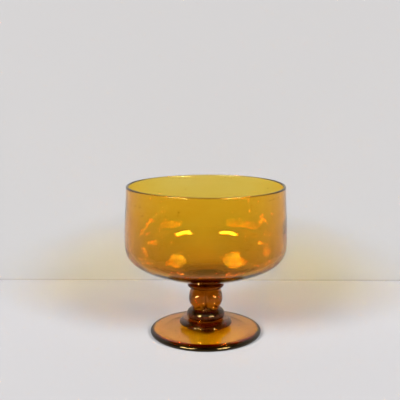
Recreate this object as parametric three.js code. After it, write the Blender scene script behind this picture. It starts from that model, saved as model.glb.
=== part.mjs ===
// Footed art glass bowl in amber seeded glass, blown and worked hot at the bench.
// A round bowl stands on a short stem: a thin merese, a ball knop pinched into four
// lobes, a flattened collar and a wide foot merese, on a spun disc foot. Every piece
// is its own gather of glass, joined to the next one on a flat fused face.
// Millimetres, +Z up. The origin is the centre of the ring that the foot stands on.
import * as THREE from 'three';

// ---- driving dimensions -------------------------------------------------------------

// Heights of the fused faces, from the table up.
const FOOT_JOINT_Z = 7.0;
const FOOT_MERESE_JOINT_Z = 12.8;
const COLLAR_JOINT_Z = 22.6;
const KNOP_JOINT_Z = 42.4;
const BOWL_JOINT_Z = 45.4;
const RIM_Z = 133.0;

// Radii of the fused faces.
const FOOT_JOINT_R = 15.0;
const FOOT_MERESE_JOINT_R = 13.8;
const KNOP_JOINT_R = 12.0;
const BOWL_JOINT_R = 14.2;

// Bowl: nearly straight sides over a round shoulder and a shallow cone below.
const BOWL_RIM_R = 68.8;
const BOWL_WIDEST_R = 70.8;
const BOWL_WIDEST_Z = 82.2;
const BOWL_WALL = 2.9;
const BOWL_LIP_R = 1.15;
const BOWL_FLOOR_THICKNESS = 6.2;
const BOWL_SHOULDER_R = 48.3;
const BOWL_SHOULDER_Z = 60.8;
const BOWL_SIDE_PULL = 25.8;
const BOWL_RIM_PULL = 13.6;
const BOWL_WELL_R = 22.0;
const BOWL_WELL_RISE = 2.8;

// Meresi and collar: flattened rounds, each widest at its equator.
const BOWL_MERESE_R = 16.1;
const COLLAR_R = 16.9;
const COLLAR_EQUATOR_Z = 17.2;
const FOOT_MERESE_R = 23.3;
const FOOT_MERESE_EQUATOR_Z = 9.9;

// Knop: a ball with four pinched grooves, deepest at its equator.
const KNOP_R = 16.0;
const KNOP_EQUATOR_Z = 32.8;
const KNOP_LOBES = 4;
const KNOP_LOBE_DEPTH = 0.08;

// Foot: a disc that thins towards a full rounded edge, with a shallow hollow under it.
const FOOT_R = 49.3;
const FOOT_EDGE_R = 2.2;
const FOOT_FALL_R = 40.0;
const FOOT_FALL_Z = 5.0;
const FOOT_REST_INNER_R = 38.0;
const FOOT_HOLLOW = 1.7;
const PONTIL_R = 8.0;
const PONTIL_HEIGHT = 0.5;

// Facets round each piece, and along each curve of its outline.
const BOWL_SEGMENTS = 56;
const BOWL_CURVE_STEPS = 7;
const STEM_SEGMENTS = 40;
const CURVE_STEPS = 5;
const ROUND_EDGE_STEPS = 3;

// ---- finishes: one melt of glass, darker where it is thick ---------------------------

const amberGlass = (name, colour) => new THREE.MeshStandardMaterial({
  name, color: colour, roughness: 0.04, metalness: 0, transparent: true, opacity: 0.6,
});

// ---- helpers ------------------------------------------------------------------------

// Draws an outline in the half plane (radius, height), from the axis back to the axis.
function outline(startZ, draw, steps = CURVE_STEPS) {
  const path = new THREE.Path();
  path.moveTo(0, startZ);
  draw(path);
  return path.getPoints(steps);
}

// Turns an outline round +Z. The outline climbs the outside of the piece first.
function turned(points, segments) {
  return new THREE.LatheGeometry(points, segments).rotateX(Math.PI / 2);
}

function piece(name, geometry, colour) {
  const mesh = new THREE.Mesh(geometry, amberGlass(`${name}_glass`, colour));
  mesh.name = name;
  return mesh;
}

// Outline of a round between two fused faces, widest at its equator. A lean is how far
// the surface heads out and along from a fused face, and a belly how far it stays full.
function roundOutline({ low, lowLean, lowBelly, equator, topBelly, topLean, top }) {
  return outline(low[1], (path) => {
    path.lineTo(low[0], low[1]);
    path.bezierCurveTo(low[0] + lowLean[0], low[1] + lowLean[1],
      equator[0], equator[1] - lowBelly, equator[0], equator[1]);
    path.bezierCurveTo(equator[0], equator[1] + topBelly,
      top[0] + topLean[0], top[1] - topLean[1], top[0], top[1]);
    path.lineTo(0, top[1]);
  });
}

// ---- pieces -------------------------------------------------------------------------

function bowl() {
  const lipCentreZ = RIM_Z - BOWL_LIP_R;
  const lipInnerR = BOWL_RIM_R - 2 * BOWL_LIP_R;
  const widestInnerR = BOWL_WIDEST_R - BOWL_WALL;
  const floorZ = BOWL_JOINT_Z + BOWL_FLOOR_THICKNESS;
  const wellZ = floorZ + BOWL_WELL_RISE;
  const points = outline(BOWL_JOINT_Z, (path) => {
    path.lineTo(BOWL_JOINT_R, BOWL_JOINT_Z);
    path.bezierCurveTo(BOWL_SHOULDER_R, BOWL_SHOULDER_Z, BOWL_WIDEST_R, BOWL_SHOULDER_Z,
      BOWL_WIDEST_R, BOWL_WIDEST_Z);
    path.bezierCurveTo(BOWL_WIDEST_R, BOWL_WIDEST_Z + BOWL_SIDE_PULL,
      BOWL_RIM_R, lipCentreZ - BOWL_RIM_PULL, BOWL_RIM_R, lipCentreZ);
    path.absarc(BOWL_RIM_R - BOWL_LIP_R, lipCentreZ, BOWL_LIP_R, 0, Math.PI, false);
    path.bezierCurveTo(lipInnerR, lipCentreZ - BOWL_RIM_PULL,
      widestInnerR, BOWL_WIDEST_Z + BOWL_SIDE_PULL, widestInnerR, BOWL_WIDEST_Z);
    path.bezierCurveTo(widestInnerR, BOWL_SHOULDER_Z + 2.6, BOWL_SHOULDER_R - 2.3,
      BOWL_SHOULDER_Z + 2.2, BOWL_WELL_R, wellZ);
    path.bezierCurveTo(BOWL_WELL_R * 0.7, wellZ - 2.4, BOWL_WELL_R * 0.36, floorZ, 0, floorZ);
  }, BOWL_CURVE_STEPS);
  return piece('bowl', turned(points, BOWL_SEGMENTS), 0xd79a20);
}

function bowlMerese() {
  const edgeR = (BOWL_JOINT_Z - KNOP_JOINT_Z) / 2;
  const points = outline(KNOP_JOINT_Z, (path) => {
    path.lineTo(BOWL_MERESE_R - edgeR, KNOP_JOINT_Z);
    path.absarc(BOWL_MERESE_R - edgeR, KNOP_JOINT_Z + edgeR, edgeR, -Math.PI / 2, Math.PI / 2,
      false);
    path.lineTo(0, BOWL_JOINT_Z);
  }, ROUND_EDGE_STEPS);
  return piece('bowl_merese', turned(points, STEM_SEGMENTS), 0x8a4a0c);
}

// The ball is turned first, then pressed in at the grooves. A groove faces -Y and each
// other axis, and the pressing fades out at the round fused faces above and below.
function stemKnop() {
  const geometry = turned(roundOutline({
    low: [KNOP_JOINT_R, COLLAR_JOINT_Z],
    lowLean: [0.2, 3.0],
    lowBelly: 4.2,
    equator: [KNOP_R, KNOP_EQUATOR_Z],
    topBelly: 4.0,
    topLean: [1.2, 2.2],
    top: [KNOP_JOINT_R, KNOP_JOINT_Z],
  }), STEM_SEGMENTS);
  const position = geometry.getAttribute('position');
  for (let i = 0; i < position.count; i += 1) {
    const height = (position.getZ(i) - COLLAR_JOINT_Z) / (KNOP_JOINT_Z - COLLAR_JOINT_Z);
    const pressed = KNOP_LOBE_DEPTH * Math.sin(Math.PI * Math.min(Math.max(height, 0), 1));
    const turn = Math.atan2(position.getY(i), position.getX(i));
    const scale = 1 - pressed * Math.cos(KNOP_LOBES * turn);
    position.setX(i, position.getX(i) * scale);
    position.setY(i, position.getY(i) * scale);
  }
  return piece('stem_knop', geometry, 0xa85a0e);
}

function stemCollar() {
  const points = roundOutline({
    low: [FOOT_MERESE_JOINT_R, FOOT_MERESE_JOINT_Z],
    lowLean: [2.0, 0],
    lowBelly: 1.6,
    equator: [COLLAR_R, COLLAR_EQUATOR_Z],
    topBelly: 2.8,
    topLean: [3.0, 0.8],
    top: [KNOP_JOINT_R, COLLAR_JOINT_Z],
  });
  return piece('stem_collar', turned(points, STEM_SEGMENTS), 0x6e300a);
}

function footMerese() {
  const points = roundOutline({
    low: [FOOT_JOINT_R, FOOT_JOINT_Z],
    lowLean: [4.2, 0],
    lowBelly: 1.5,
    equator: [FOOT_MERESE_R, FOOT_MERESE_EQUATOR_Z],
    topBelly: 1.6,
    topLean: [4.8, 0],
    top: [FOOT_MERESE_JOINT_R, FOOT_MERESE_JOINT_Z],
  });
  return piece('foot_merese', turned(points, STEM_SEGMENTS), 0x7a3a0a);
}

function foot() {
  const edgeCentreR = FOOT_R - FOOT_EDGE_R;
  const points = outline(FOOT_HOLLOW - PONTIL_HEIGHT, (path) => {
    path.lineTo(PONTIL_R, FOOT_HOLLOW - PONTIL_HEIGHT);
    path.lineTo(PONTIL_R + PONTIL_HEIGHT, FOOT_HOLLOW);
    path.quadraticCurveTo(FOOT_REST_INNER_R / 2, FOOT_HOLLOW, FOOT_REST_INNER_R, 0);
    path.lineTo(edgeCentreR, 0);
    path.absarc(edgeCentreR, FOOT_EDGE_R, FOOT_EDGE_R, -Math.PI / 2, 0, false);
    path.bezierCurveTo(FOOT_R, 2 * FOOT_EDGE_R, FOOT_FALL_R + 5, FOOT_FALL_Z - 0.25,
      FOOT_FALL_R, FOOT_FALL_Z);
    path.bezierCurveTo(FOOT_FALL_R - 7, FOOT_FALL_Z + 0.35, FOOT_JOINT_R + 8,
      FOOT_JOINT_Z - 1.1, FOOT_JOINT_R, FOOT_JOINT_Z);
    path.lineTo(0, FOOT_JOINT_Z);
  }, CURVE_STEPS);
  return piece('foot', turned(points, BOWL_SEGMENTS), 0xc08018);
}

// ---- assembly -----------------------------------------------------------------------

const stem = new THREE.Group();
stem.add(bowlMerese(), stemKnop(), stemCollar(), footMerese());

const group = new THREE.Group();
group.add(bowl(), stem, foot());

export default group;
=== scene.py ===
"""Footed bowl in amber seeded glass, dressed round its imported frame.

The bowl is blown and worked hot from six gathers of glass: the bowl, a thin merese, a ball
knop pinched into four lobes, a flattened collar, a wide foot merese and a spun disc foot. Each
gather is turned here as its own closed solid with its own finish, and they meet on fused faces,
where light goes straight on from one gather into the next. The air seeds in the glass are real
closed hollows in the meshes. Two pale cards, two softboxes and a camera complete the scene.

Lengths are millimetres until a mesh is finished, and metres from there on.
"""

from __future__ import annotations

import logging
import math
import random
from dataclasses import dataclass, field, replace
from enum import Enum
from functools import partial
from typing import Any, Callable, Iterable, Optional, Sequence

import bmesh
import bpy
from mathutils import Matrix, Vector, noise
from mathutils.geometry import interpolate_bezier

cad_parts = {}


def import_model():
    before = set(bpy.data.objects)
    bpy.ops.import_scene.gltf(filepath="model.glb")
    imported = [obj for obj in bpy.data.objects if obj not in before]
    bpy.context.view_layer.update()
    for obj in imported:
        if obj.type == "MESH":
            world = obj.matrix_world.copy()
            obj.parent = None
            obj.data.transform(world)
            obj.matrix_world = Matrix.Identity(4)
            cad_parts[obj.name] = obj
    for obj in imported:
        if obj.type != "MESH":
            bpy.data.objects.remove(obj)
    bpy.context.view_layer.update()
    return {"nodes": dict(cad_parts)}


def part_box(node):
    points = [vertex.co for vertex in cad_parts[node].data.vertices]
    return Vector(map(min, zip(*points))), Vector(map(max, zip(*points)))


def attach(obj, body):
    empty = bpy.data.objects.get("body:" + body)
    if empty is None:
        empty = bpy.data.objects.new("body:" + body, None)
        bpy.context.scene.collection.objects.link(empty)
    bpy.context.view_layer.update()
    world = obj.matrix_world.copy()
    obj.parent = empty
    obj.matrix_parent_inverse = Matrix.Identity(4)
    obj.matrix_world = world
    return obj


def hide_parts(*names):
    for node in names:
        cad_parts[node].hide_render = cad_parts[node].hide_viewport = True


LOG = logging.getLogger("footed_bowl")
MM = 0.001
BODY = "root"
FUSED = "fused"
GROUND = "ground"
# The base colour is deepened by this mark: evenly on the marvered gathers, and as painted shade on
# the bowl, the knop, the foot and round the seeds.
DEEP_TINT_AND_SHADE = "deep_tint_and_shade"
SEAM_GAP = 0.03  # mm between two fused faces, so that no ray meets both at once
LEVEL_TOLERANCE = 1e-3  # mm
MERGE_DISTANCE = 1e-4  # mm
ON_AXIS = 1e-6  # mm
SHARP_ANGLE = math.radians(40)
JOINT_STEPS = 4  # edges from the axis to the rim of a fused face
LEAST_AHEAD = 0.05  # cosine, below which a ray doesn't head for a softbox

Point = tuple[float, float]
Triple = tuple[float, float, float]
Skin = bmesh.types.BMesh
Tree = bpy.types.NodeTree
Socket = bpy.types.NodeSocket


# ---- small helpers ---------------------------------------------------------------------------


def linear(colour: str) -> tuple[float, float, float, float]:
    """Turn an sRGB hex colour into linear light.

    Args:
        colour: Six hex digits after a hash, such as "#d9a441".

    Returns:
        Linear red, green and blue, and an alpha of 1.
    """
    parts = [int(colour[i : i + 2], 16) / 255 for i in (1, 3, 5)]
    light = [c / 12.92 if c <= 0.04045 else ((c + 0.055) / 1.055) ** 2.4 for c in parts]
    return (light[0], light[1], light[2], 1.0)


def add_node(
    tree: Tree, kind: str, inputs: Optional[dict[Any, Any]] = None, **settings: Any
) -> bpy.types.Node:
    """Add one node, set its own settings, and fill or link its inputs.

    Args:
        tree: The node tree that gets the node.
        kind: The node's type name without its "ShaderNode" start.
        inputs: Input names or numbers, each with a plain value or an output socket to link.
        **settings: Properties of the node itself.

    Returns:
        The new node.
    """
    node = tree.nodes.new("ShaderNode" + kind)
    for name, value in settings.items():
        setattr(node, name, value)
    for key, value in (inputs or {}).items():
        if isinstance(value, Socket):
            tree.links.new(value, node.inputs[key])
        else:
            node.inputs[key].default_value = value
    return node


def smooth_step(low: float, high: float, value: float) -> float:
    """Return 0 below low, 1 above high, and an even S-shaped rise between them."""
    share = min(max((value - low) / (high - low), 0.0), 1.0)
    return share * share * (3 - 2 * share)


# ---- the frame -------------------------------------------------------------------------------


@dataclass(frozen=True)
class Extent:
    """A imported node's lowest and highest level and its reach from the axis, in millimetres."""

    low: float
    high: float
    reach: float

    @classmethod
    def of(cls, node: str, fused_below: bool = False, fused_above: bool = False) -> Extent:
        """Read a node's extent from the frame, trimmed by half a seam gap where it is fused.

        Args:
            node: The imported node's name.
            fused_below: Whether its lower end is fused to the next gather.
            fused_above: Whether its upper end is fused to the next gather.

        Returns:
            The extent.
        """
        low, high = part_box(node)
        trim = SEAM_GAP / 2
        return cls(
            low.z / MM + (trim if fused_below else 0.0),
            high.z / MM - (trim if fused_above else 0.0),
            high.x / MM,
        )


@dataclass(frozen=True)
class FusedSeam:
    """A flat round face where two gathers are fused: its radius and level, in millimetres."""

    radius: float
    level: float

    def holds(self, centre: Vector) -> bool:
        """Tell whether a face centred there belongs to the seam."""
        level = abs(centre.z - self.level) < LEVEL_TOLERANCE
        return level and math.hypot(centre.x, centre.y) < self.radius


# ---- outlines --------------------------------------------------------------------------------


class Outline:
    """Half of a turned piece's section, drawn from the axis back to the axis."""

    def __init__(self, radius: float, height: float) -> None:
        """Start the outline at one point, in millimetres."""
        self.points: list[Point] = [(radius, height)]

    def line(self, radius: float, height: float, steps: int = 1) -> Outline:
        """Add a straight stretch.

        Args:
            radius: Where the stretch ends, out from the axis.
            height: Where the stretch ends, above the table.
            steps: How many even edges make the stretch.

        Returns:
            The outline itself.
        """
        r, z = self.points[-1]
        shares = [step / steps for step in range(1, steps + 1)]
        self.points.extend((r + (radius - r) * s, z + (height - z) * s) for s in shares)
        return self

    def curve(self, pull: Point, push: Point, end: Point, steps: int = 16) -> Outline:
        """Add a cubic stretch.

        Args:
            pull: The first handle, which sets how the stretch leaves its start.
            push: The second handle, which sets how it arrives.
            end: Where the stretch ends.
            steps: How many edges make the stretch.

        Returns:
            The outline itself.
        """
        knots = [Vector((*p, 0.0)) for p in (self.points[-1], pull, push, end)]
        sampled = interpolate_bezier(*knots, steps + 1)
        self.points.extend((p.x, p.y) for p in sampled[1:])
        return self

    def arc(self, centre: Point, radius: float, start: float, end: float, steps: int) -> Outline:
        """Add a round stretch.

        Args:
            centre: The round's centre.
            radius: The round's radius.
            start: Angle of the first point, in degrees from straight out.
            end: Angle of the last point.
            steps: How many edges make the stretch.

        Returns:
            The outline itself.
        """
        for step in range(1, steps + 1):
            turn = math.radians(start + (end - start) * step / steps)
            out, up = radius * math.cos(turn), radius * math.sin(turn)
            self.points.append((centre[0] + out, centre[1] + up))
        return self

    def arch(self, pull: Point, end: Point, steps: int) -> Outline:
        """Add a stretch bent by one handle.

        Args:
            pull: The handle, which the stretch leaves towards and arrives from.
            end: Where the stretch ends.
            steps: How many edges make the stretch.

        Returns:
            The outline itself.
        """
        start = self.points[-1]
        leave = tuple(s + (p - s) * 2 / 3 for s, p in zip(start, pull))
        arrive = tuple(e + (p - e) * 2 / 3 for e, p in zip(end, pull))
        return self.curve(leave, arrive, end, steps)

    def radius_at(self, level: float) -> float:
        """Find the radius where a climbing outline first passes a level.

        Args:
            level: The level, which is held between the outline's two ends.

        Returns:
            The radius there.
        """
        for (r1, z1), (r2, z2) in zip(self.points, self.points[1:]):
            if z2 > z1 and level <= z2:
                return r1 + (r2 - r1) * max(level - z1, 0.0) / (z2 - z1)
        return self.points[-1][0]

    def turned(self, steps: int) -> Skin:
        """Spin the outline round the upright axis into one closed skin.

        Args:
            steps: How many facets go round.

        Returns:
            The mesh, in millimetres, with its faces pointing out.
        """
        bm = bmesh.new()
        verts = [bm.verts.new((r, 0.0, z)) for r, z in self.points]
        edges = [bm.edges.new(pair) for pair in zip(verts, verts[1:])]
        bmesh.ops.spin(
            bm,
            geom=verts + edges,
            cent=(0, 0, 0),
            axis=(0, 0, 1),
            dvec=(0, 0, 0),
            angle=2 * math.pi,
            steps=steps,
            use_merge=True,
            use_duplicate=False,
        )
        bmesh.ops.remove_doubles(bm, verts=bm.verts[:], dist=MERGE_DISTANCE)
        bmesh.ops.recalc_face_normals(bm, faces=bm.faces[:])
        return bm


@dataclass(frozen=True)
class Round:
    """The side of a round that lies between two fused faces and is widest at its equator.

    The joints are the radii of the fused faces. A lean is how far out, and then up or down, the
    surface heads from a fused face's edge. A belly is how far from the equator the side stays
    full. The equator is counted from the lower fused face. Lengths are in millimetres.
    """

    low_joint: float
    low_lean: Point
    low_belly: float
    equator: float
    top_belly: float
    top_lean: Point
    top_joint: float
    steps: int = 24

    def outline(self, extent: Extent, reach: float) -> Outline:
        """Draw the round.

        Args:
            extent: The levels that it lies between.
            reach: Its radius at the equator.

        Returns:
            The closed outline.
        """
        low, high = extent.low, extent.high
        equator = low + self.equator
        outline = Outline(0.0, low).line(self.low_joint, low, JOINT_STEPS)
        leave = (self.low_joint + self.low_lean[0], low + self.low_lean[1])
        outline.curve(leave, (reach, equator - self.low_belly), (reach, equator), self.steps)
        arrive = (self.top_joint + self.top_lean[0], high - self.top_lean[1])
        top = (self.top_joint, high)
        outline.curve((reach, equator + self.top_belly), arrive, top, self.steps)
        return outline.line(0.0, high, JOINT_STEPS)

    def seams(self, extent: Extent) -> list[FusedSeam]:
        """Return the lower and the upper fused face."""
        return [FusedSeam(self.low_joint, extent.low), FusedSeam(self.top_joint, extent.high)]


# ---- seeds -----------------------------------------------------------------------------------


def deep_tint_and_shade_layer(bm: Skin) -> bmesh.types.BMLayerItem:
    """Return the vertex layer that says how much the base colour is deepened at each spot: an even
    tint on some gathers, painted shade on others.
    """
    return bm.verts.layers.float.get(DEEP_TINT_AND_SHADE) or bm.verts.layers.float.new(DEEP_TINT_AND_SHADE)


@dataclass(frozen=True)
class Seed:
    """One air bubble in the glass: its centre and half-lengths, in millimetres.

    Its painted shade is how much the base colour round it is darkened, which makes it a small dark
    dot.
    """

    centre: Triple
    half: Triple
    painted_shade_depth: float = 0.8

    def blow_into(self, bm: Skin) -> None:
        """Add the bubble as a closed hollow, with its faces pointing into the air.

        Args:
            bm: The skin of the gather that holds the bubble.
        """
        deep_tint_and_shade = deep_tint_and_shade_layer(bm)
        place = Matrix.Translation(self.centre)
        along = Matrix.Rotation(math.atan2(self.centre[1], self.centre[0]), 4, "Z")
        size = Matrix.Diagonal((*self.half, 1.0))
        made = bmesh.ops.create_icosphere(
            bm, subdivisions=2, radius=1.0, matrix=place @ along @ size
        )
        # Painted shade: darken the base colour round the bubble into a dark dot.
        for vert in made["verts"]:
            vert[deep_tint_and_shade] = self.painted_shade_depth
        faces = {f for v in made["verts"] for f in v.link_faces}
        bmesh.ops.reverse_faces(bm, faces=list(faces))


# ---- glass finishes --------------------------------------------------------------------------


class Working(Enum):
    """How a gather was worked: the depths of its turning rings and tool ripple, in mm."""

    TURNED = (0.045, 0.030)
    PINCHED = (0.0, 0.040)
    MARVERED = (0.015, 0.025)


@dataclass(frozen=True)
class AmberMelt:
    """Soda-lime glass coloured amber in the pot, as cast blanks of one melt would be.

    The colour is in the depth of the glass, so a thin lip is pale honey, a wall is gold and the
    solid stem is dark sherry. The takes are how much light one millimetre takes from red, green
    and blue. The deep colour is what deepened spots tend to: evenly all over on the marvered
    gathers, and as painted shade in the bowl's well, the knop's grooves, the foot's edge and round
    the seeds. The mirror colour warms what the glass mirrors head on.
    """

    index: float = 1.52
    red_take: float = 0.026
    green_take: float = 0.128
    blue_take: float = 0.80
    streak_pale: str = "#fffdf4"
    streak_deep: str = "#fff3d2"
    deep_tint_and_shade: str = "#3a1c08"
    mirror: str = "#e8c67e"

    def add_volume(self, tree: Tree) -> Socket:
        """Add the absorption that colours the glass by its depth.

        Args:
            tree: The material's node tree.

        Returns:
            The volume output.
        """
        takes = (self.red_take, self.green_take, self.blue_take)
        densest = max(takes)
        passed = (*[1 - take / densest for take in takes], 1.0)
        node = add_node(tree, "VolumeAbsorption", {"Color": passed, "Density": densest / MM})
        return node.outputs["Volume"]


@dataclass(frozen=True)
class FirePolishedGlass:
    """A hot-worked surface of the amber melt, closed and glossy from the glory hole.

    Fire polish leaves the skin mirror-smooth but not flat: it keeps a ripple a few millimetres
    long from the tools and longer cords from uneven melt, which bend what shows through it.
    The name says how the gather was worked.
    """

    name: str
    working: Working
    melt: AmberMelt
    ripple_mm: float = 6.0
    ring_mm: float = 3.5
    ring_sway: float = 0.06
    smudge_mm: float = 18.18
    streak_mm: float = 25.0
    streak_squeeze: float = 3.0
    haze: float = 0.012
    haze_from: float = 0.42
    haze_full: float = 0.72
    ground_roughness: float = 0.32

    def material(self) -> bpy.types.Material:
        """Build the material, or return it if it has been built.

        Returns:
            The glass material, which reads Object coordinates and the fused and ground marks.
        """
        made = bpy.data.materials.get(self.name)
        if made is not None:
            return made
        made = bpy.data.materials.new(self.name)
        made.use_nodes = True
        tree = made.node_tree
        tree.nodes.clear()
        place = add_node(tree, "TexCoord").outputs["Object"]
        # A fused face isn't a surface, so its index falls to 1 and its relief and haze to 0.
        mark = add_node(tree, "Attribute", attribute_name=FUSED).outputs["Fac"]
        free = add_node(tree, "Math", {0: 1.0, 1: mark}, operation="SUBTRACT").outputs["Value"]
        span = {"To Min": 1.0, "To Max": self.melt.index}
        index = add_node(tree, "MapRange", {"Value": free, **span})
        glass = add_node(
            tree,
            "BsdfPrincipled",
            {
                "Base Color": self._streaks(tree, place),
                "Roughness": self._roughness(tree, place, free),
                "IOR": index.outputs["Result"],
                "Specular Tint": linear(self.melt.mirror),
                "Normal": self._relief(tree, place, free),
                "Transmission Weight": 1.0,
            },
        )
        surface, volume = glass.outputs["BSDF"], self.melt.add_volume(tree)
        add_node(tree, "OutputMaterial", {"Surface": surface, "Volume": volume})
        return made

    def _relief(self, tree: Tree, place: Socket, free: Socket) -> Socket:
        """Build the rings that turning leaves, under the ripple that tools leave.

        Args:
            tree: The material's node tree.
            place: Object coordinates, in metres.
            free: 1 where the skin is free.

        Returns:
            The bent normal.
        """
        ring_depth, ripple_depth = self.working.value
        level = add_node(tree, "SeparateXYZ", {0: place}).outputs["Z"]
        flat = add_node(tree, "VectorMath", {0: place, 1: (1.0, 1.0, 0.0)}, operation="MULTIPLY")
        reach = add_node(tree, "VectorMath", {0: flat.outputs["Vector"]}, operation="LENGTH")
        section = add_node(tree, "CombineXYZ", {"X": reach.outputs["Value"], "Z": level})
        loose = add_node(
            tree,
            "VectorMath",
            {0: place, 1: (self.ring_sway,) * 3, 2: section.outputs["Vector"]},
            operation="MULTIPLY_ADD",
        ).outputs["Vector"]
        below: dict[str, Socket] = {}
        for drawn, length, depth, grain in (
            (loose, self.ring_mm, ring_depth, 0.4),
            (place, self.ripple_mm, ripple_depth, 0.45),
        ):
            scale = 1 / (length * MM)
            wave = {"Vector": drawn, "Scale": scale, "Detail": 2.0, "Roughness": grain}
            height = add_node(tree, "TexNoise", wave).outputs["Fac"]
            press = {"Height": height, "Distance": depth * MM, "Strength": free, **below}
            below = {"Normal": add_node(tree, "Bump", press).outputs["Normal"]}
        return below["Normal"]

    def _roughness(self, tree: Tree, place: Socket, free: Socket) -> Socket:
        """Build the faint handling haze, and the dull grain where the glass was ground or worn.

        Args:
            tree: The material's node tree.
            place: Object coordinates, in metres.
            free: 1 where the skin is free.

        Returns:
            The roughness, which is 0 on a fused face.
        """
        scale = 1 / (self.smudge_mm * MM)
        smudge = add_node(tree, "TexNoise", {"Vector": place, "Scale": scale, "Detail": 3.0})
        reach = {"From Min": self.haze_from, "From Max": self.haze_full, "To Max": self.haze}
        haze = add_node(tree, "MapRange", {"Value": smudge.outputs["Fac"], **reach})
        mark = add_node(tree, "Attribute", attribute_name=GROUND)
        dulled = add_node(
            tree,
            "Math",
            {0: mark.outputs["Fac"], 1: self.ground_roughness, 2: haze.outputs["Result"]},
            operation="MULTIPLY_ADD",
        ).outputs["Value"]
        return add_node(tree, "Math", {0: dulled, 1: free}, operation="MULTIPLY").outputs["Value"]

    def _streaks(self, tree: Tree, place: Socket) -> Socket:
        """Build the faint streaks of an uneven pot of glass, deepened by the tint and shade mark:
        an even tint on some gathers, painted shade on others.

        Args:
            tree: The material's node tree.
            place: Object coordinates, in metres.

        Returns:
            The colour that each crossing of the skin gives.
        """
        squeeze = (1.0, 1.0, self.streak_squeeze)
        drawn = add_node(tree, "Mapping", {"Vector": place, "Scale": squeeze}).outputs["Vector"]
        scale = 1 / (self.streak_mm * MM)
        wave = {"Vector": drawn, "Scale": scale, "Detail": 3.0, "Distortion": 0.6}
        pull = add_node(tree, "TexNoise", wave)
        mark = add_node(tree, "Attribute", attribute_name=DEEP_TINT_AND_SHADE)
        colour = linear(self.melt.streak_pale)
        for share, deeper in ((pull, self.melt.streak_deep), (mark, self.melt.deep_tint_and_shade)):
            blend = {"Factor": share.outputs["Fac"], "A": colour, "B": linear(deeper)}
            colour = add_node(tree, "Mix", blend, data_type="RGBA").outputs["Result"]
        return colour


# Each melt's deep colour is painted shade on the bowl, the knop and the foot, and an even deeper
# tint on the marvered gathers.
THIN_MELT = AmberMelt(deep_tint_and_shade="#30240c")
DISC_MELT = AmberMelt(red_take=0.010, green_take=0.082, blue_take=0.7, deep_tint_and_shade="#120a04")
THICK_MELT = AmberMelt(red_take=0.038, green_take=0.090, blue_take=0.6)
DEEP_MELT = AmberMelt(red_take=0.050, green_take=0.105, blue_take=0.6)


# ---- a finished piece ------------------------------------------------------------------------


def nowhere(spot: Vector) -> float:
    """Say that no spot of the skin is touched."""
    return 0.0


def finish_piece(
    node: str,
    bm: Skin,
    finish: FirePolishedGlass,
    seams: Iterable[FusedSeam],
    wear: Callable[[Vector], float] = nowhere,
    tint_and_shade_depth: Callable[[Vector], float] = nowhere,
) -> bpy.types.Object:
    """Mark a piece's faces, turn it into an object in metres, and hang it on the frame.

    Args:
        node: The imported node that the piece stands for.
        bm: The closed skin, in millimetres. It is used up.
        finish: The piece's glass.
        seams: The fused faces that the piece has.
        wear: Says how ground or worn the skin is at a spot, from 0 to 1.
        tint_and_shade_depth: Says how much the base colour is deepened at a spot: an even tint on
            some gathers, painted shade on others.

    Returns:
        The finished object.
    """
    fused = bm.faces.layers.float.new(FUSED)
    ground = bm.verts.layers.float.new(GROUND)
    for face in bm.faces:
        face.smooth = True
        centre = face.calc_center_median()
        face[fused] = float(any(seam.holds(centre) for seam in seams))
    for edge in bm.edges:
        meets_seam = len({face[fused] for face in edge.link_faces}) > 1
        edge.smooth = not meets_seam and edge.calc_face_angle(0.0) < SHARP_ANGLE
    deep_tint_and_shade = deep_tint_and_shade_layer(bm)
    for vert in bm.verts:
        vert[ground] = wear(vert.co)
        vert[deep_tint_and_shade] = max(vert[deep_tint_and_shade], tint_and_shade_depth(vert.co))
    bmesh.ops.scale(bm, vec=(MM, MM, MM), verts=bm.verts[:])
    mesh = bpy.data.meshes.new(f"{node}_glass")
    bm.to_mesh(mesh)
    bm.free()
    mesh.materials.append(finish.material())
    piece = bpy.data.objects.new(mesh.name, mesh)
    bpy.context.scene.collection.objects.link(piece)
    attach(piece, BODY)
    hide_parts(node)
    LOG.info("%s: %d faces in %s", piece.name, len(mesh.polygons), finish.name)
    return piece


# ---- bowl ------------------------------------------------------------------------------------


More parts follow.
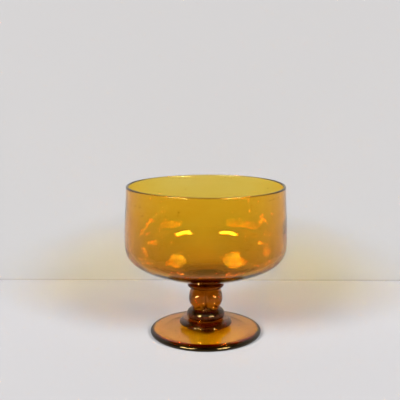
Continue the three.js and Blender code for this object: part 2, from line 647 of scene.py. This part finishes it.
@dataclass
class BlownBowl:
    """The blown bowl: steep sides over a round shoulder, drawn in to a thick well.

    Lengths are in millimetres, and turns of a wave in radians. The rim, the widest place and the
    foot of the bowl come from the frame, and the fields say how its skin runs between them. A
    tool ring is its radius, width and height. A large seed is its turn in degrees from the
    front, its level and its size.
    """

    joint_radius: float = 14.2
    lip_radius: float = 1.15
    rim_inset: float = 1.9
    wall: float = 2.9
    widest_drop: float = 50.8
    side_pull: float = 25.8
    rim_pull: float = 13.6
    shoulder_radius: float = 48.3
    shoulder_rise: float = 15.4
    inner_shoulder_lift: float = 2.6
    inner_floor_pull: Point = (2.3, 2.2)
    floor_thickness: float = 6.2
    well_radius: float = 22.0
    well_rise: float = 2.8
    well_side_pull: Point = (0.7, 2.4)
    well_floor_pull: float = 0.36
    shoulder_steps: int = 44
    side_steps: int = 26
    lip_steps: int = 14
    inner_steps: int = 40
    steps_round: int = 240
    loose_from: float = 8.0
    out_of_round: float = 0.16
    oval_turn: float = 0.7
    trefoil_turn: float = 2.1
    trefoil_share: float = 0.5
    lip_wave: float = 0.22
    lip_turn: float = 1.2
    solid_below: float = 3.0
    inside_from: Point = (0.2, 0.8)
    cord_length: float = 17.0
    cord_depth: float = 0.16
    tool_rings: tuple[Triple, ...] = ((21.6, 0.9, 0.35), (46.5, 1.4, 0.16))
    # Painted shade: the base colour darkens low on the side and most in the well.
    side_painted_shade: float = 0.16
    side_fade: Point = (8.0, 62.0)
    well_painted_shade: float = 0.40
    well_fade: Point = (16.0, 40.0)
    seed_draw: int = 7
    seed_count: int = 46
    seed_levels: Point = (66.0, 128.0)
    seed_sizes: Point = (0.26, 0.48)
    seed_depth: float = 0.48
    seed_stretch: Point = (0.8, 1.25)
    large_seeds: tuple[Triple, ...] = (
        (-18.0, 121.0, 0.55),
        (-40.4, 112.0, 0.60),
        (-47.8, 114.4, 0.45),
        (-57.0, 121.0, 0.50),
        (-33.7, 93.5, 0.50),
        (-48.9, 84.0, 0.45),
        (-42.8, 84.6, 0.50),
        (48.9, 127.0, 0.50),
        (24.0, 76.0, 0.45),
        (141.0, 104.0, 0.55),
        (-156.0, 92.0, 0.50),
        (98.0, 115.0, 0.55),
    )
    extent: Extent = field(init=False)

    def __post_init__(self) -> None:
        """Take the bowl's levels and width from the frame."""
        self.extent = Extent.of("bowl", fused_below=True)

    @property
    def widest_level(self) -> float:
        """Return the level where the bowl is widest."""
        return self.extent.high - self.widest_drop

    @property
    def lip_start(self) -> Point:
        """Return the radius and level where the outside runs into the round of the lip."""
        return (self.extent.reach - self.rim_inset, self.extent.high - self.lip_radius)

    def build(self) -> bpy.types.Object:
        """Turn the bowl, loosen it as hand work is, seed it and dress it.

        Returns:
            The bowl.
        """
        outer = self._outer_skin()
        skin = self._inner_skin(outer).turned(self.steps_round)
        self._loosen(skin, outer)
        for seed in self._seeds(outer):
            seed.blow_into(skin)
        finish = FirePolishedGlass("blown_amber_glass", Working.TURNED, THIN_MELT)
        seam = FusedSeam(self.joint_radius, self.extent.low)
        return finish_piece("bowl", skin, finish, [seam], tint_and_shade_depth=self._painted_shade)

    def _painted_shade(self, spot: Vector) -> float:
        """Say how much painted shade darkens the base colour at a spot: most in the well, none near
        the lip.

        Args:
            spot: The spot, in millimetres.

        Returns:
            From 0 for the colour of the lip to 1 for the deep colour.
        """
        start, end = self.side_fade
        side = 1 - smooth_step(self.extent.low + start, self.extent.low + end, spot.z)
        well = 1 - smooth_step(*self.well_fade, math.hypot(spot.x, spot.y))
        return self.side_painted_shade * side + self.well_painted_shade * well

    def _outer_skin(self) -> Outline:
        """Draw the outside.

        Returns:
            The open outline, from the joint up to the lip.
        """
        low, reach = self.extent.low, self.extent.reach
        shoulder = low + self.shoulder_rise
        widest = self.widest_level
        rim, lip = self.lip_start
        outline = Outline(0.0, low).line(self.joint_radius, low, JOINT_STEPS)
        pull, push = (self.shoulder_radius, shoulder), (reach, shoulder)
        outline.curve(pull, push, (reach, widest), self.shoulder_steps)
        pull, push = (reach, widest + self.side_pull), (rim, lip - self.rim_pull)
        return outline.curve(pull, push, (rim, lip), self.side_steps)

    def _inner_skin(self, outer: Outline) -> Outline:
        """Round the lip over and draw the inside down to the middle of the well.

        Args:
            outer: The outside, which is carried on.

        Returns:
            The whole section.
        """
        rim, lip = self.lip_start
        inner_rim = rim - 2 * self.lip_radius
        inner = self.extent.reach - self.wall
        widest = self.widest_level
        shoulder = self.extent.low + self.shoulder_rise
        floor = self.extent.low + self.floor_thickness
        well = floor + self.well_rise
        whole = Outline(0.0, 0.0)
        whole.points = list(outer.points)
        whole.arc((rim - self.lip_radius, lip), self.lip_radius, 0, 180, self.lip_steps)
        pull, push = (inner_rim, lip - self.rim_pull), (inner, widest + self.side_pull)
        whole.curve(pull, push, (inner, widest), self.side_steps)
        inwards, upwards = self.inner_floor_pull
        pull = (inner, shoulder + self.inner_shoulder_lift)
        push = (self.shoulder_radius - inwards, shoulder + upwards)
        whole.curve(pull, push, (self.well_radius, well), self.inner_steps)
        share, drop = self.well_side_pull
        pull = (self.well_radius * share, well - drop)
        return whole.curve(pull, (self.well_radius * self.well_floor_pull, floor), (0.0, floor))

    def _loosen(self, skin: Skin, outer: Outline) -> None:
        """Bend the turned skin slightly, as a bowl opened by hand is.

        The bowl goes a little out of round and its lip rises and falls a little. The inside also
        follows the cords in the melt, and low rings that the opening tool left, so the wall is a
        trifle thicker here and thinner there, which bends what shows through it.

        Args:
            skin: The turned skin, which is changed.
            outer: The outside, which tells the two sides of the wall apart.
        """
        low, high = self.extent.low, self.extent.high
        skin.normal_update()
        shifts = []
        for vert in skin.verts:
            radius = math.hypot(vert.co.x, vert.co.y)
            turn = math.atan2(vert.co.y, vert.co.x)
            climb = smooth_step(low + self.loose_from, high, vert.co.z)
            oval = math.cos(2 * turn + self.oval_turn)
            trefoil = math.cos(3 * turn + self.trefoil_turn)
            push = climb * self.out_of_round * (oval + self.trefoil_share * trefoil)
            depth = (outer.radius_at(vert.co.z) - radius) / self.wall
            hollow = vert.co.z > low + self.solid_below
            inside = smooth_step(*self.inside_from, depth) if hollow else 0.0
            bulge = self.cord_depth * noise.noise(vert.co / self.cord_length)
            if vert.co.z < self.widest_level:
                for ring_radius, width, height in self.tool_rings:
                    bulge += height * math.exp(-(((radius - ring_radius) / width) ** 2))
            outward = Vector((math.cos(turn), math.sin(turn), 0.0))
            lift = climb * climb * self.lip_wave * math.cos(2 * turn - self.lip_turn)
            shifts.append(outward * push + vert.normal * (inside * bulge) + Vector((0, 0, lift)))
        for vert, shift in zip(skin.verts, shifts):
            vert.co += shift

    def _seeds(self, outer: Outline) -> list[Seed]:
        """Scatter the air seeds in the thickness of the wall.

        Args:
            outer: The outside, which the seeds follow.

        Returns:
            The seeds, the large ones first.
        """
        draw = random.Random(self.seed_draw)
        spots = list(self.large_seeds)
        ranges = ((-180, 180), self.seed_levels, self.seed_sizes)
        spots += [tuple(draw.uniform(*ends) for ends in ranges) for _ in range(self.seed_count)]
        narrow, wide = self.seed_stretch
        seeds = []
        for turn, level, size in spots:
            middle = outer.radius_at(level) - self.wall * self.seed_depth
            angle = math.radians(turn - 90)
            centre = (middle * math.cos(angle), middle * math.sin(angle), level)
            seeds.append(Seed(centre, (size * narrow, size * wide, size)))
        return seeds


# ---- stem ------------------------------------------------------------------------------------


@dataclass
class WorkedStem:
    """The four solid gathers of the stem, from the thin merese down to the foot merese.

    Lengths are in millimetres. The knop is pinched along upright grooves, and each groove ends
    in a pucker, a small star where the jacks let go, with bubbles trapped behind it.
    """

    knop: Round = Round(
        low_joint=12.0,
        low_lean=(0.2, 3.0),
        low_belly=4.2,
        equator=10.17,
        top_belly=4.0,
        top_lean=(1.2, 2.2),
        top_joint=12.0,
    )
    collar: Round = Round(
        low_joint=13.8,
        low_lean=(2.0, 0.0),
        low_belly=1.6,
        equator=4.4,
        top_belly=2.8,
        top_lean=(3.0, 0.8),
        top_joint=12.0,
    )
    foot_merese: Round = Round(
        low_joint=15.0,
        low_lean=(4.2, 0.0),
        low_belly=1.5,
        equator=2.9,
        top_belly=1.6,
        top_lean=(4.8, 0.0),
        top_joint=13.8,
    )
    edge_steps: int = 16
    knop_reach: float = 16.0
    lobes: int = 4
    lobe_depth: float = 0.08
    groove_depth: float = 0.08
    groove_degrees: float = 5.5
    gather_density: float = 0.22
    # Painted shade: the base colour darkens along each groove and in each pucker.
    crease_painted_shade: float = 0.45
    crease_width: float = 0.9
    crease_fade: Point = (0.65, 0.95)
    pucker_painted_shade: float = 0.95
    pucker_rise: float = 3.4
    pucker_size: float = 3.0
    pucker_depth: float = 1.7
    pucker_points: int = 5
    pucker_swing: float = 0.45
    core_share: float = 0.6
    least_pressed: float = 0.02
    press_gain: float = 3.0
    bubble_draw: int = 11
    bubble_count: int = 5
    bubble_turn: float = 0.16
    bubble_depths: Point = (2.6, 5.2)
    bubble_rises: Point = (-1.6, 2.4)
    bubble_sizes: Point = (0.4, 0.75)
    bubble_stretch: Point = (1.0, 1.5)
    steps_round: int = 224
    marvered: FirePolishedGlass = FirePolishedGlass(
        "marvered_amber_glass", Working.MARVERED, DEEP_MELT
    )
    pinched: FirePolishedGlass = FirePolishedGlass(
        "pinched_amber_glass", Working.PINCHED, THICK_MELT
    )

    def build(self) -> list[bpy.types.Object]:
        """Build the four gathers, from the bowl down.

        Returns:
            The merese, the knop, the collar and the foot merese.
        """
        return [
            self._bowl_merese(),
            self._knop(),
            self._flattened("stem_collar", self.collar),
            self._flattened("foot_merese", self.foot_merese),
        ]

    def _marver(
        self, node: str, outline: Outline, seams: Iterable[FusedSeam]
    ) -> bpy.types.Object:
        """Turn a marvered gather and dress it."""
        skin = outline.turned(self.steps_round)
        return finish_piece(node, skin, self.marvered, seams, tint_and_shade_depth=self._gathered)

    def _gathered(self, spot: Vector) -> float:
        """Say how deep the colour is on a marvered gather, which is even all over."""
        return self.gather_density

    def _bowl_merese(self) -> bpy.types.Object:
        """Turn the thin disc under the bowl, with its full round edge.

        Returns:
            The merese.
        """
        extent = Extent.of("bowl_merese", fused_below=True, fused_above=True)
        edge = (extent.high - extent.low) / 2
        flat = extent.reach - edge
        joint = self.knop.top_joint
        outline = Outline(0.0, extent.low).line(joint, extent.low, JOINT_STEPS)
        outline.line(flat, extent.low)
        outline.arc((flat, extent.low + edge), edge, -90, 90, self.edge_steps)
        outline.line(0.0, extent.high, JOINT_STEPS)
        seams = [FusedSeam(joint, extent.low), FusedSeam(flat, extent.high)]
        return self._marver("bowl_merese", outline, seams)

    def _flattened(self, node: str, shape: Round) -> bpy.types.Object:
        """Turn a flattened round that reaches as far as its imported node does."""
        extent = Extent.of(node, fused_below=True, fused_above=True)
        return self._marver(node, shape.outline(extent, extent.reach), shape.seams(extent))

    def _knop(self) -> bpy.types.Object:
        """Turn the ball knop, pinch it into lobes and trap the air under each pinch.

        Returns:
            The knop.
        """
        extent = Extent.of("stem_knop", fused_below=True, fused_above=True)
        skin = self.knop.outline(extent, self.knop_reach).turned(self.steps_round)
        self._pinch(skin, extent)
        for seed in self._trapped_air(extent):
            seed.blow_into(skin)
        seams = self.knop.seams(extent)
        groove_shade = partial(self._painted_groove_shade, extent)
        return finish_piece("stem_knop", skin, self.pinched, seams, tint_and_shade_depth=groove_shade)

    def _from_groove(self, extent: Extent, spot: Vector) -> Triple:
        """Measure how far a spot is from the nearest groove.

        Args:
            extent: The knop's levels.
            spot: The spot, in millimetres.

        Returns:
            The turn from the groove in radians, the same in millimetres along the skin, and the
            height above the pucker's middle.
        """
        pitch = 2 * math.pi / self.lobes
        off = (math.atan2(spot.y, spot.x) + pitch / 2) % pitch - pitch / 2
        return off, off * math.hypot(spot.x, spot.y), spot.z - extent.low - self.pucker_rise

    def _pucker(self, across: float, above: float) -> float:
        """Say how much of a pucker is left that far from its middle, as a star that fades."""
        star = 1 + self.pucker_swing * math.cos(self.pucker_points * math.atan2(above, across))
        return math.exp(-((math.hypot(across, above) / (self.pucker_size * star)) ** 2))

    def _painted_groove_shade(self, extent: Extent, spot: Vector) -> float:
        """Say how much painted shade darkens the base colour at a spot: along the grooves and in
        each pucker.

        Args:
            extent: The knop's levels.
            spot: The spot, in millimetres.

        Returns:
            From 0 for the plain melt to 1 for the deep colour.
        """
        if math.hypot(spot.x, spot.y) < self.core_share * self.knop.low_joint:
            return 0.0
        _, across, above = self._from_groove(extent, spot)
        share = (spot.z - extent.low) / (extent.high - extent.low)
        crease = self.crease_painted_shade * math.exp(-((across / self.crease_width) ** 2))
        crease *= 1 - smooth_step(*self.crease_fade, share)
        return min(crease + self.pucker_painted_shade * self._pucker(across, above), 1.0)

    def _pinch(self, skin: Skin, extent: Extent) -> None:
        """Press the upright grooves in, each with a pucker where the jacks let go.

        Args:
            skin: The turned knop, which is changed.
            extent: The knop's levels.
        """
        for vert in skin.verts:
            radius = math.hypot(vert.co.x, vert.co.y)
            if radius < ON_AXIS:
                continue
            off, across, above = self._from_groove(extent, vert.co)
            share = (vert.co.z - extent.low) / (extent.high - extent.low)
            pressed = math.sin(math.pi * min(max(share, 0.0), 1.0))
            crease = math.exp(-((math.degrees(off) / self.groove_degrees) ** 2))
            scale = 1 - pressed * self.lobe_depth * math.cos(self.lobes * off)
            scale -= pressed * self.groove_depth * crease
            if radius > self.core_share * self.knop.low_joint and pressed > self.least_pressed:
                dimple = self.pucker_depth * self._pucker(across, above)
                scale -= dimple * min(pressed * self.press_gain, 1.0) / radius
            vert.co.x *= scale
            vert.co.y *= scale

    def _trapped_air(self, extent: Extent) -> list[Seed]:
        """Scatter a small knot of bubbles behind each pucker.

        Args:
            extent: The knop's levels.

        Returns:
            The bubbles of all the knots.
        """
        draw = random.Random(self.bubble_draw)
        seeds = []
        for lobe in range(self.lobes):
            turn = 2 * math.pi * lobe / self.lobes
            for _ in range(self.bubble_count):
                angle = turn + draw.uniform(-self.bubble_turn, self.bubble_turn)
                depth = self.knop.low_joint - draw.uniform(*self.bubble_depths)
                level = extent.low + self.pucker_rise + draw.uniform(*self.bubble_rises)
                size = draw.uniform(*self.bubble_sizes)
                centre = (depth * math.cos(angle), depth * math.sin(angle), level)
                half = (size, size, size * draw.uniform(*self.bubble_stretch))
                seeds.append(Seed(centre, half))
        return seeds


# ---- foot ------------------------------------------------------------------------------------


@dataclass
class SpunFoot:
    """The disc foot, spun out flat, with a full round edge and a shallow hollow under it.

    Lengths are in millimetres. The leads are how far the handles of the upper side's two curves
    stand off from the curves' ends, out and then up or down.
    """

    joint_radius: float = 15.0
    joint_lead: Point = (8.0, -1.1)
    edge_radius: float = 2.2
    fall_radius: float = 40.0
    fall_level: float = 5.0
    fall_outer_lead: Point = (5.0, -0.25)
    fall_inner_lead: Point = (-7.0, 0.35)
    rest_inner_radius: float = 38.0
    hollow: float = 1.7
    pontil_radius: float = 8.0
    pontil_height: float = 0.5
    curve_steps: int = 24
    steps_round: int = 224
    rest_steps: int = 6
    edge_steps: int = 12
    # Painted shade: the base colour darkens over this band inside the round edge.
    shaded_edge_band: Point = (4.4, 1.8)
    skin_margin: float = 0.1
    pontil_wear: float = 0.9
    scuff_blur: float = 2.0
    scuff_end: Point = (2.0, 0.6)
    scuff_mm: float = 4.0
    scuff_depth: float = 0.5
    scuff_gap: float = 0.08
    seed_draw: int = 23
    seed_count: int = 9
    seed_level: float = 2.9
    seed_reaches: Point = (20.0, 44.0)
    seed_sizes: Point = (0.25, 0.42)
    seed_stretch: Point = (1.5, 0.9)
    extent: Extent = field(init=False)

    def __post_init__(self) -> None:
        """Take the foot's levels and width from the frame."""
        self.extent = Extent.of("foot", fused_above=True)

    def build(self) -> bpy.types.Object:
        """Turn the foot, seed it and dress it.

        Returns:
            The foot.
        """
        skin = self._section().turned(self.steps_round)
        for seed in self._seeds():
            seed.blow_into(skin)
        finish = FirePolishedGlass("spun_amber_glass", Working.TURNED, DISC_MELT)
        seam = FusedSeam(self.joint_radius, self.extent.high)
        return finish_piece("foot", skin, finish, [seam], self._wear, self._painted_shade)

    def _painted_shade(self, spot: Vector) -> float:
        """Say how much painted shade darkens the base colour at a spot: the band round the edge is
        darkest.
        """
        start, end = (self.extent.reach - inset for inset in self.shaded_edge_band)
        return smooth_step(start, end, math.hypot(spot.x, spot.y))

    def _section(self) -> Outline:
        """Draw the foot's section.

        Returns:
            The closed outline, from the pontil scar out and back over the top.
        """
        low, high = self.extent.low, self.extent.high
        edge = self.extent.reach - self.edge_radius
        roof = low + self.hollow
        scar = roof - self.pontil_height
        outline = Outline(0.0, scar).line(self.pontil_radius, scar, 2 * JOINT_STEPS)
        outline.line(self.pontil_radius + self.pontil_height, roof)
        rest = self.rest_inner_radius
        outline.arch((rest / 2, roof), (rest, low), self.curve_steps)
        outline.line(edge, low, self.rest_steps)
        centre = (edge, low + self.edge_radius)
        outline.arc(centre, self.edge_radius, -90, 0, self.edge_steps)
        fall = (self.fall_radius, low + self.fall_level)
        joint = (self.joint_radius, high)
        leave, over, onward, arrive = (
            (point[0] + lead[0], point[1] + lead[1])
            for point, lead in (
                ((self.extent.reach, low), (0.0, 2 * self.edge_radius)),
                (fall, self.fall_outer_lead),
                (fall, self.fall_inner_lead),
                (joint, self.joint_lead),
            )
        )
        outline.curve(leave, over, fall, self.curve_steps)
        outline.curve(onward, arrive, joint, self.curve_steps)
        return outline.line(0.0, high, JOINT_STEPS)

    def _wear(self, spot: Vector) -> float:
        """Say how rough the foot's skin is at a spot.

        The pontil scar is broken and ground glass, and the resting ring is scuffed in patches.

        Args:
            spot: The spot, in millimetres.

        Returns:
            From 0 for fire polish to 1 for ground glass.
        """
        radius = math.hypot(spot.x, spot.y)
        if spot.z >= self.extent.low + self.hollow + self.skin_margin:
            return 0.0
        if radius < self.pontil_radius + self.skin_margin:
            return self.pontil_wear
        rest, blur = self.rest_inner_radius, self.scuff_blur
        start, end = (self.extent.reach - inset for inset in self.scuff_end)
        ring = smooth_step(rest - blur, rest + blur, radius) * (1 - smooth_step(start, end, radius))
        patches = self.scuff_depth * noise.noise(spot / self.scuff_mm) - self.scuff_gap
        return ring * max(0.0, patches)

    def _seeds(self) -> list[Seed]:
        """Scatter a few air seeds in the thickness of the disc.

        Returns:
            The seeds.
        """
        draw = random.Random(self.seed_draw)
        level = self.extent.low + self.seed_level
        long, flat = self.seed_stretch
        seeds = []
        for _ in range(self.seed_count):
            reach = draw.uniform(*self.seed_reaches)
            angle = draw.uniform(-math.pi, math.pi)
            size = draw.uniform(*self.seed_sizes)
            centre = (reach * math.cos(angle), reach * math.sin(angle), level)
            seeds.append(Seed(centre, (size, size * long, size * flat)))
        return seeds


# ---- studio ----------------------------------------------------------------------------------


@dataclass(frozen=True)
class Softbox:
    """A softbox drawn on the surroundings: a soft-edged rectangle of light far away.

    Angles are in degrees. The azimuth is counted from the side that the camera stands on, and
    turns to the camera's right. The strength is in times plain white.
    """

    azimuth: float
    elevation: float
    half_width: float
    half_height: float
    strength: float
    edge: float = 0.16

    def glow(self, tree: Tree, direction: Socket) -> Socket:
        """Draw the softbox.

        Args:
            tree: The world's node tree.
            direction: Where each ray heads.

        Returns:
            The light that the softbox sends along the ray.
        """
        turn = math.radians(self.azimuth)
        lift = math.radians(self.elevation)
        level = Vector((math.sin(turn), -math.cos(turn), 0.0))
        facing = level * math.cos(lift) + Vector((0.0, 0.0, math.sin(lift)))
        sideways = Vector((math.cos(turn), math.sin(turn), 0.0))
        upward = sideways.cross(facing)
        ahead, across, above = (
            add_node(tree, "VectorMath", {0: direction, 1: axis}, operation="DOT_PRODUCT")
            for axis in (facing, sideways, upward)
        )
        ahead = ahead.outputs["Value"]
        inside = add_node(tree, "Math", {0: ahead, 1: LEAST_AHEAD}, operation="GREATER_THAN")
        for along, half in ((across, self.half_width), (above, self.half_height)):
            reach = math.tan(math.radians(half))
            off = add_node(tree, "Math", {0: along.outputs["Value"], 1: ahead}, operation="DIVIDE")
            off = add_node(tree, "Math", {0: off.outputs["Value"]}, operation="ABSOLUTE")
            mask = add_node(
                tree,
                "MapRange",
                {
                    "Value": off.outputs["Value"],
                    "From Min": reach * (1 - self.edge),
                    "From Max": reach * (1 + self.edge),
                    "To Min": 1.0,
                    "To Max": 0.0,
                },
                interpolation_type="SMOOTHSTEP",
            ).outputs["Result"]
            both = {0: inside.outputs["Value"], 1: mask}
            inside = add_node(tree, "Math", both, operation="MULTIPLY")
        both = {0: inside.outputs["Value"], 1: self.strength}
        return add_node(tree, "Math", both, operation="MULTIPLY").outputs["Value"]


@dataclass(frozen=True)
class Room:
    """The studio round the table: pale up to a soft skyline, and dim above it.

    The pale part reaches well up behind the bowl and stays low on the camera's side, where the
    room is darker, so the glass mirrors little but the softboxes. Levels are sines of elevation,
    and the camera's side lies between two shares of straight ahead of the bowl.
    """

    pale: str = "#d6d5d6"
    dim_share: float = 0.16
    pale_up_to: float = 0.22
    dim_from: float = 0.5
    camera_side: Point = (-0.8, -0.35)
    camera_side_squeeze: float = 4.0
    camera_side_share: float = 0.62

    def glow(self, tree: Tree, direction: Socket) -> Socket:
        """Draw the room.

        Args:
            tree: The world's node tree.
            direction: Where each ray heads.

        Returns:
            The room's colour along the ray.
        """
        axes = add_node(tree, "SeparateXYZ", {0: direction}).outputs
        start, end = self.camera_side
        near = add_node(
            tree,
            "MapRange",
            {"Value": axes["Y"], "From Min": start, "From Max": end, "To Min": 1.0, "To Max": 0.0},
            interpolation_type="SMOOTHSTEP",
        ).outputs["Result"]
        squeeze, kept = (
            add_node(tree, "Math", {0: near, 1: gain, 2: 1.0}, operation="MULTIPLY_ADD")
            for gain in (self.camera_side_squeeze, self.camera_side_share - 1)
        )
        heights = {0: axes["Z"], 1: squeeze.outputs["Value"]}
        level = add_node(tree, "Math", heights, operation="MULTIPLY").outputs["Value"]
        share = add_node(
            tree,
            "MapRange",
            {
                "Value": level,
                "From Min": self.pale_up_to,
                "From Max": self.dim_from,
                "To Min": 1.0,
                "To Max": self.dim_share,
            },
            interpolation_type="SMOOTHSTEP",
        ).outputs["Result"]
        shares = {0: share, 1: kept.outputs["Value"]}
        share = add_node(tree, "Math", shares, operation="MULTIPLY").outputs["Value"]
        glow = {0: linear(self.pale)[:3], "Scale": share}
        return add_node(tree, "VectorMath", glow, operation="SCALE").outputs["Vector"]


@dataclass(frozen=True)
class CoatedCard:
    """Matt coated card: even and pale, with a faint paper tooth that kills any gleam.

    The softboxes reach one stretch of it. From there on its colour is scaled down, a painted shade
    for it sinking into the dark of the room.
    Distances along the axis are in metres.
    """

    name: str
    colour: str
    shade: str
    axis: str
    lit_until: float
    dim_from: float
    dim_share: float
    one_sided: bool = False
    tooth_mm: float = 1.4
    tooth_depth_mm: float = 0.02
    cloud_mm: float = 333.3

    def material(self) -> bpy.types.Material:
        """Build the card's material.

        Returns:
            The material, which reads Object coordinates. A one-sided card is clear from behind.
        """
        made = bpy.data.materials.new(self.name)
        made.use_nodes = True
        tree = made.node_tree
        tree.nodes.clear()
        place = add_node(tree, "TexCoord").outputs["Object"]
        scale = 1 / (self.tooth_mm * MM)
        tooth = add_node(tree, "TexNoise", {"Vector": place, "Scale": scale, "Detail": 2.0})
        press = {"Distance": self.tooth_depth_mm * MM, "Strength": 0.5}
        relief = add_node(tree, "Bump", {"Height": tooth.outputs["Fac"], **press})
        surface = add_node(
            tree,
            "BsdfPrincipled",
            {
                "Base Color": self._lit_colour(tree, place),
                "Roughness": 0.85,
                "Specular IOR Level": 0.0,
                "Normal": relief.outputs["Normal"],
            },
        ).outputs["BSDF"]
        if self.one_sided:
            behind = add_node(tree, "NewGeometry").outputs["Backfacing"]
            clear = add_node(tree, "BsdfTransparent").outputs["BSDF"]
            sides = {0: behind, 1: surface, 2: clear}
            surface = add_node(tree, "MixShader", sides).outputs["Shader"]
        add_node(tree, "OutputMaterial", {"Surface": surface})
        return made

    def _lit_colour(self, tree: Tree, place: Socket) -> Socket:
        """Build the card's faintly clouded colour, with painted shade that sinks it to dim along
        its axis.

        Args:
            tree: The material's node tree.
            place: Object coordinates, in metres.

        Returns:
            The colour.
        """
        scale = 1 / (self.cloud_mm * MM)
        cloud = add_node(tree, "TexNoise", {"Vector": place, "Scale": scale, "Detail": 2.0})
        ends = {"A": linear(self.colour), "B": linear(self.shade)}
        blend = {"Factor": cloud.outputs["Fac"], **ends}
        colour = add_node(tree, "Mix", blend, data_type="RGBA").outputs["Result"]
        # Painted shade: scale the colour down past lit_until, as the softboxes' light falls off.
        share = add_node(
            tree,
            "MapRange",
            {
                "Value": add_node(tree, "SeparateXYZ", {0: place}).outputs[self.axis],
                "From Min": self.lit_until,
                "From Max": self.dim_from,
                "To Min": 1.0,
                "To Max": self.dim_share,
            },
            interpolation_type="SMOOTHSTEP",
        ).outputs["Result"]
        dimmed = {0: colour, "Scale": share}
        return add_node(tree, "VectorMath", dimmed, operation="SCALE").outputs["Vector"]


@dataclass(frozen=True)
class CardSet:
    """A pale card on the table, a second one standing behind it, and a darker strip where they
    meet, a painted shadow. Distances are in metres.
    """

    on_table: CoatedCard = CoatedCard(
        "matt_table_card",
        colour="#787778",
        shade="#767576",
        axis="Y",
        lit_until=-0.18,
        dim_from=-1.6,
        dim_share=0.62,
    )
    on_wall: CoatedCard = CoatedCard(
        "matt_wall_card",
        colour="#6c6b6b",
        shade="#6a6969",
        axis="Z",
        lit_until=0.5,
        dim_from=1.4,
        dim_share=0.3,
        one_sided=True,
    )
    # A darker strip in front of the wall's foot: a painted shadow where the two cards meet.
    wall_foot_shadow_strip: CoatedCard = replace(
        on_wall, name="painted_shadow_strip", colour="#656262", shade="#636161"
    )
    reach: float = 40.0
    wall_back: float = 0.160
    wall_height: float = 20.0
    shadow_strip_height_mm: float = 1.6
    shadow_strip_ahead_mm: float = 0.1
    below_foot_mm: float = 0.05

    def build(self) -> None:
        """Lay one card, stand the other up behind it, and put a darker strip at the foot of the
        wall, a painted shadow along the corner.
        """
        level = -self.below_foot_mm * MM
        back, edge = self.wall_back, self.wall_back - self.shadow_strip_ahead_mm * MM
        self._sheet("floor", (-self.reach, level), (self.reach, level), self.on_table)
        self._sheet("wall", (back, level), (back, self.wall_height), self.on_wall)
        self._sheet("wall_foot_painted_shadow", (edge, level), (edge, self.shadow_strip_height_mm * MM), self.wall_foot_shadow_strip)

    def _sheet(self, name: str, near: Point, far: Point, card: CoatedCard) -> None:
        """Make one flat card that runs the full reach from side to side.

        Args:
            name: The object's name.
            near: How far back and how high its first edge is.
            far: The same of its second edge. Its lit side faces up, or towards the camera.
            card: The card's finish.
        """
        left, right = -self.reach, self.reach
        bm = bmesh.new()
        corners = ((left, *near), (right, *near), (right, *far), (left, *far))
        bm.faces.new([bm.verts.new(corner) for corner in corners])
        mesh = bpy.data.meshes.new(name)
        bm.to_mesh(mesh)
        bm.free()
        mesh.materials.append(card.material())
        sheet = bpy.data.objects.new(name, mesh)
        bpy.context.scene.collection.objects.link(sheet)


@dataclass
class Studio:
    """The cards, the room with its two softboxes, and the camera. Distances are in metres."""

    room: Room = field(default_factory=Room)
    cards: CardSet = field(default_factory=CardSet)
    softboxes: tuple[Softbox, ...] = (
        Softbox(azimuth=-40.0, elevation=32.5, half_width=13.0, half_height=9.0, strength=82.0),
        Softbox(azimuth=40.0, elevation=32.5, half_width=11.0, half_height=8.5, strength=82.0),
    )
    camera_back: float = 0.5808
    camera_height: float = 0.219
    camera_pitch: float = 9.7
    camera_turn: float = 0.5
    lens_mm: float = 61.04
    light_bounces: int = 32
    clamp: float = 60.0

    def build(self) -> None:
        """Set the studio up round the object."""
        self.cards.build()
        self._light()
        self._place_camera()
        self._set_light_paths()

    def _light(self) -> None:
        """Draw the room and the softboxes on the world."""
        world = bpy.data.worlds.new("studio")
        world.use_nodes = True
        tree = world.node_tree
        tree.nodes.clear()
        direction = add_node(tree, "TexCoord").outputs["Generated"]
        total = self.room.glow(tree, direction)
        for softbox in self.softboxes:
            both = {0: total, 1: softbox.glow(tree, direction)}
            total = add_node(tree, "VectorMath", both, operation="ADD").outputs["Vector"]
        light = add_node(tree, "Background", {"Color": total, "Strength": 1.0})
        add_node(tree, "OutputWorld", {"Surface": light.outputs["Background"]})
        world.cycles.sampling_method = "MANUAL"
        world.cycles.sample_map_resolution = 1024
        bpy.context.scene.world = world

    def _place_camera(self) -> None:
        """Stand the camera in front of the bowl, a little above its rim."""
        lens = bpy.data.cameras.new("camera")
        lens.lens = self.lens_mm
        lens.sensor_width = 36.0
        lens.clip_start = 0.01
        lens.clip_end = 200.0
        camera = bpy.data.objects.new("camera", lens)
        camera.location = (0.0, -self.camera_back, self.camera_height)
        pitch, turn = math.radians(90 - self.camera_pitch), math.radians(self.camera_turn)
        camera.rotation_euler = (pitch, 0.0, turn)
        bpy.context.scene.collection.objects.link(camera)
        bpy.context.scene.camera = camera

    def _set_light_paths(self) -> None:
        """Let light pass through every wall of glass, and show colours as they are."""
        scene = bpy.context.scene
        scene.cycles.max_bounces = self.light_bounces
        scene.cycles.transmission_bounces = self.light_bounces
        scene.cycles.glossy_bounces = self.light_bounces
        scene.cycles.sample_clamp_indirect = self.clamp
        scene.cycles.blur_glossy = 0.0
        scene.view_settings.view_transform = "Standard"


# ---- all together ----------------------------------------------------------------------------


def main() -> None:
    """Load the frame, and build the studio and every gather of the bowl."""
    logging.basicConfig(level=logging.INFO, format="%(name)s: %(message)s")
    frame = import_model()
    Studio().build()
    pieces = [BlownBowl().build(), *WorkedStem().build(), SpunFoot().build()]
    LOG.info("%d gathers of glass for %d packed nodes", len(pieces), len(frame["nodes"]))


if __name__ == "__main__":
    main()
